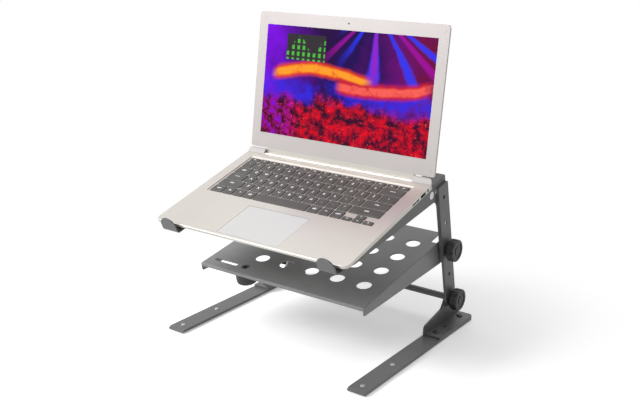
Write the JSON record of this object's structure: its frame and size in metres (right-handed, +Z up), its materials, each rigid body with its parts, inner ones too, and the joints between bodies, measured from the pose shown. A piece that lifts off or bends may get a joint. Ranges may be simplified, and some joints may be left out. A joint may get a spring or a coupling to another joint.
{
  "type": "laptop stand with laptop",
  "caption": "Folding steel laptop stand with a perforated shelf tray and clamping knobs, carrying an opened thin laptop with a working lid, keys and touchpad.",
  "frame": {"origin": "on the floor, midway between the front of the arms and the back of the feet, on the middle plane", "axes": "+Z up; +X to the user's right when facing the screen; +Y away from the user, towards the back of the laptop"},
  "size_m": [0.35, 0.3464, 0.457],
  "materials": {
    "powder_coat": "satin dark grey powder coat with a fine texture",
    "knob_plastic": "fine-grained moulded black plastic",
    "zinc_steel": "zinc-plated",
    "black_screw": "black oxide",
    "pad_rubber": "matt",
    "nylon": "satin",
    "champagne_aluminium": "fine bead-blasted, anodised",
    "bezel_aluminium": "fine bead-blasted, anodised",
    "hinge_plastic": "satin",
    "key_plastic": "fine matt, pale printed legends",
    "display_glass": "glossy picture area",
    "touchpad_surface": "smooth satin",
    "board_green": "solder mask",
    "dark_plastic": "matt",
    "port_steel": "stamped",
    "lens_glass": "clear"
  },
  "bodies": {
    "base": {"foot_bar_left": "powder_coat", "foot_bar_right": "powder_coat", "foot_pads": "pad_rubber", "foot_rivets": "zinc_steel", "foot_bracket_left": "powder_coat", "foot_bracket_right": "powder_coat", "bracket_screws": "black_screw", "crossbar": "powder_coat"},
    "uprights": {"post_left": "powder_coat", "post_right": "powder_coat", "arm_left": "powder_coat", "arm_right": "powder_coat", "arm_locating_pins": "zinc_steel", "knob_washers": "zinc_steel", "pivot_spacers": "nylon"},
    "shelf": {"tray": "powder_coat", "tray_weld_nuts": "zinc_steel", "tray_bush": "nylon"},
    "thumb_knob": {"tray_knob": "knob_plastic"},
    "clamp_lower_left": {"lower_knob_left": "knob_plastic", "lower_stud_left": "zinc_steel"},
    "clamp_lower_right": {"lower_knob_right": "knob_plastic", "lower_stud_right": "zinc_steel"},
    "clamp_upper_left": {"upper_knob_left": "knob_plastic", "upper_stud_left": "zinc_steel"},
    "clamp_upper_right": {"upper_knob_right": "knob_plastic", "upper_stud_right": "zinc_steel"},
    "laptop": {"base_shell": "champagne_aluminium", "deck": "champagne_aluminium", "keyboard_plate": "zinc_steel", "hinge_caps": "hinge_plastic", "lid_hinge_pins": "zinc_steel", "port_sockets": "port_steel", "laptop_feet": "pad_rubber", "case_screws": "zinc_steel", "battery": "dark_plastic", "mainboard": "board_green", "cooling_fan": "dark_plastic", "speakers": "dark_plastic"},
    "lid": {"hinge_barrel": "champagne_aluminium", "lid_shell": "champagne_aluminium", "lid_bezel": "bezel_aluminium", "display_panel": "display_glass", "webcam": "lens_glass", "lid_bumpers": "pad_rubber"},
    "touchpad_plate": {"touchpad": "touchpad_surface"},
    "keys_function_row_press": {"keys_function_row": "key_plastic"},
    "keys_number_row_press": {"keys_number_row": "key_plastic"},
    "key_backspace_press": {"key_backspace": "key_plastic"},
    "keys_upper_row_press": {"keys_upper_row": "key_plastic"},
    "keys_home_row_press": {"keys_home_row": "key_plastic"},
    "key_enter_press": {"key_enter": "key_plastic"},
    "keys_lower_row_press": {"keys_lower_row": "key_plastic"},
    "keys_bottom_row_press": {"keys_bottom_row": "key_plastic"},
    "key_space_bar_press": {"key_space_bar": "key_plastic"},
    "keys_arrows_press": {"keys_arrows": "key_plastic"}
  },
  "joints": [
    {"name": "posts_fold", "type": "hinge", "parent": "base", "child": "uprights", "pos_m": [0, 0.1382, 0.0427], "axis": [1, 0, 0], "range_deg": [-25, 18]},
    {"name": "shelf_tilt", "type": "hinge", "parent": "uprights", "child": "shelf", "pos_m": [0, 0.11853, 0.12704], "axis": [-1, 0, 0], "range_deg": [-22, 18]},
    {"name": "thumb_knob_turn", "type": "hinge", "parent": "shelf", "child": "thumb_knob", "pos_m": [-0.0732, -0.07479, 0.10522], "axis": [0, -0.1788, 0.9839], "continuous": true},
    {"name": "laptop_lift", "type": "slide", "parent": "uprights", "child": "laptop", "axis": [0, -0.2531, 0.9674], "range_m": [0, 0.15]},
    {"name": "lid_swing", "type": "hinge", "parent": "laptop", "child": "lid", "pos_m": [-0.0025, 0.04875, 0.2412], "axis": [1, 0, 0], "range_deg": [-20, 113.4]},
    {"name": "touchpad_click", "type": "hinge", "parent": "laptop", "child": "touchpad_plate", "pos_m": [-0.0025, -0.08637, 0.20391], "axis": [1, 0, 0], "range_deg": [0, 0.5], "stiffness_Nm_per_rad": 9, "springref_deg": -0.29},
    {"name": "lower_knob_left_turn", "type": "hinge", "parent": "base", "child": "clamp_lower_left", "pos_m": [0, 0.1382, 0.0427], "axis": [-1, 0, 0], "continuous": true},
    {"name": "lower_knob_right_turn", "type": "hinge", "parent": "base", "child": "clamp_lower_right", "pos_m": [0, 0.1382, 0.0427], "axis": [1, 0, 0], "continuous": true},
    {"name": "upper_knob_left_turn", "type": "hinge", "parent": "uprights", "child": "clamp_upper_left", "pos_m": [0, 0.11853, 0.12704], "axis": [-1, 0, 0], "continuous": true},
    {"name": "upper_knob_right_turn", "type": "hinge", "parent": "uprights", "child": "clamp_upper_right", "pos_m": [0, 0.11853, 0.12704], "axis": [1, 0, 0], "continuous": true},
    {"name": "keys_function_row_travel", "type": "slide", "parent": "laptop", "child": "keys_function_row_press", "axis": [0, 0.2766, -0.961], "range_m": [0, 0.0014], "stiffness_N_per_m": 6000, "springref_m": -0.0006},
    {"name": "keys_number_row_travel", "type": "slide", "parent": "laptop", "child": "keys_number_row_press", "axis": [0, 0.2766, -0.961], "range_m": [0, 0.0014], "stiffness_N_per_m": 5200, "springref_m": -0.0006},
    {"name": "key_backspace_travel", "type": "slide", "parent": "laptop", "child": "key_backspace_press", "axis": [0, 0.2766, -0.961], "range_m": [0, 0.0014], "stiffness_N_per_m": 800, "springref_m": -0.0006},
    {"name": "keys_upper_row_travel", "type": "slide", "parent": "laptop", "child": "keys_upper_row_press", "axis": [0, 0.2766, -0.961], "range_m": [0, 0.0014], "stiffness_N_per_m": 5600, "springref_m": -0.0006},
    {"name": "keys_home_row_travel", "type": "slide", "parent": "laptop", "child": "keys_home_row_press", "axis": [0, 0.2766, -0.961], "range_m": [0, 0.0014], "stiffness_N_per_m": 4800, "springref_m": -0.0006},
    {"name": "key_enter_travel", "type": "slide", "parent": "laptop", "child": "key_enter_press", "axis": [0, 0.2766, -0.961], "range_m": [0, 0.0014], "stiffness_N_per_m": 400, "springref_m": -0.0006},
    {"name": "keys_lower_row_travel", "type": "slide", "parent": "laptop", "child": "keys_lower_row_press", "axis": [0, 0.2766, -0.961], "range_m": [0, 0.0014], "stiffness_N_per_m": 4800, "springref_m": -0.0006},
    {"name": "keys_bottom_row_travel", "type": "slide", "parent": "laptop", "child": "keys_bottom_row_press", "axis": [0, 0.2766, -0.961], "range_m": [0, 0.0014], "stiffness_N_per_m": 2800, "springref_m": -0.0006},
    {"name": "key_space_bar_travel", "type": "slide", "parent": "laptop", "child": "key_space_bar_press", "axis": [0, 0.2766, -0.961], "range_m": [0, 0.0014], "stiffness_N_per_m": 800, "springref_m": -0.0006},
    {"name": "keys_arrows_travel", "type": "slide", "parent": "laptop", "child": "keys_arrows_press", "axis": [0, 0.2766, -0.961], "range_m": [0, 0.0014], "stiffness_N_per_m": 1600, "springref_m": -0.0006}
  ]
}
